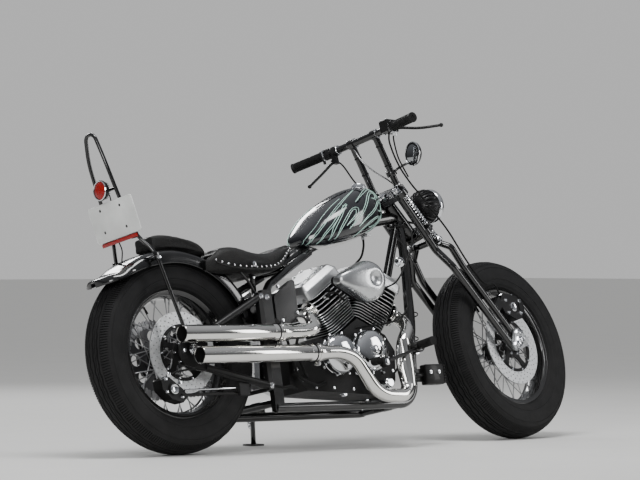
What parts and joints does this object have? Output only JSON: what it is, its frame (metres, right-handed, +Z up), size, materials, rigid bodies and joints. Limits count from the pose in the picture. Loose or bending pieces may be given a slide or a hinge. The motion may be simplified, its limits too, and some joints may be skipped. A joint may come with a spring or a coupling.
{
  "type": "chopper motorcycle",
  "caption": "Chopper motorcycle with springer fork, open twin-cylinder engine, wire wheels and a side stand it leans on.",
  "frame": {"origin": "middle of the footprint box on the floor", "axes": "+X forward along the machine, +Y to its left, +Z up"},
  "size_m": [2.2139, 0.7194, 1.1617],
  "materials": {
    "aluminium": "satin",
    "black_frame": "gloss black paint",
    "black_satin": "satin black",
    "blue_black_paint": "gloss dark paint with pinstripes",
    "chain_steel": "oiled",
    "chrome": "polished",
    "leather": "black grained",
    "plate_white": "matt white",
    "red_lens": "clear red",
    "rubber": "matte black",
    "steel": "ground",
    "tyre": "worn black"
  },
  "bodies": {
    "frame": {"frame": "black_frame", "swing_arm": "black_frame", "tank": "blue_black_paint", "filler_cap": "chrome", "seat": "leather", "seat_bracket": "black_satin", "side_panel": "black_frame", "rear_fender": "black_frame", "sissy_bar": "black_frame", "pillion_pad": "leather", "number_plate": "plate_white", "tail_lamp": "black_satin", "reflector_bar": "red_lens", "crankcase": "black_satin", "round_covers": "chrome", "oil_filter": "chrome", "cylinder_rear": "black_satin", "cylinder_front": "black_satin", "rocker_cover_rear": "aluminium", "rocker_cover_front": "aluminium", "carburettor": "aluminium", "air_cleaner": "chrome", "drive_cover": "aluminium", "drive_chain": "chain_steel", "exhaust_upper": "chrome", "exhaust_lower": "chrome", "foot_controls": "black_satin", "regulator": "black_satin", "rear_caliper": "aluminium"},
    "steering": {"fork_rear_legs": "black_frame", "fork_spring_legs": "black_frame", "fork_springs": "chrome", "rockers": "aluminium", "front_caliper": "black_satin", "headlight": "black_satin", "handlebar": "black_frame", "grips": "rubber", "hand_controls": "aluminium", "levers": "aluminium", "brake_hose": "rubber", "mirror": "chrome"},
    "front_wheel": {"front_tyre": "tyre", "front_rim": "black_satin", "front_spokes": "black_satin", "front_disc": "steel"},
    "rear_wheel": {"rear_tyre": "tyre", "rear_rim": "black_satin", "rear_spokes": "chrome", "rear_disc": "steel", "rear_sprocket": "steel"},
    "side_stand": {"side_stand": "black_frame"}
  },
  "joints": [
    {"name": "steering", "type": "hinge", "parent": "frame", "child": "steering", "pos_m": [0.74737, -0.0761, 0.31995], "axis": [-0.64, 0.1455, 0.7545], "range_deg": [-45.65, 24.35]},
    {"name": "front_wheel_spin", "type": "hinge", "parent": "steering", "child": "front_wheel", "pos_m": [0.77706, -0.07198, 0.31879], "axis": [-0.1427, 0.9423, -0.3028], "continuous": true},
    {"name": "rear_wheel_spin", "type": "hinge", "parent": "frame", "child": "rear_wheel", "pos_m": [-0.77462, -0.0761, 0.32566], "axis": [-0.0007, 0.9818, -0.19], "continuous": true},
    {"name": "side_stand_fold", "type": "hinge", "parent": "frame", "child": "side_stand", "pos_m": [-0.32039, 0.03305, 0.1195], "axis": [0.1727, 0.7382, 0.6521], "range_deg": [0, 100]}
  ]
}
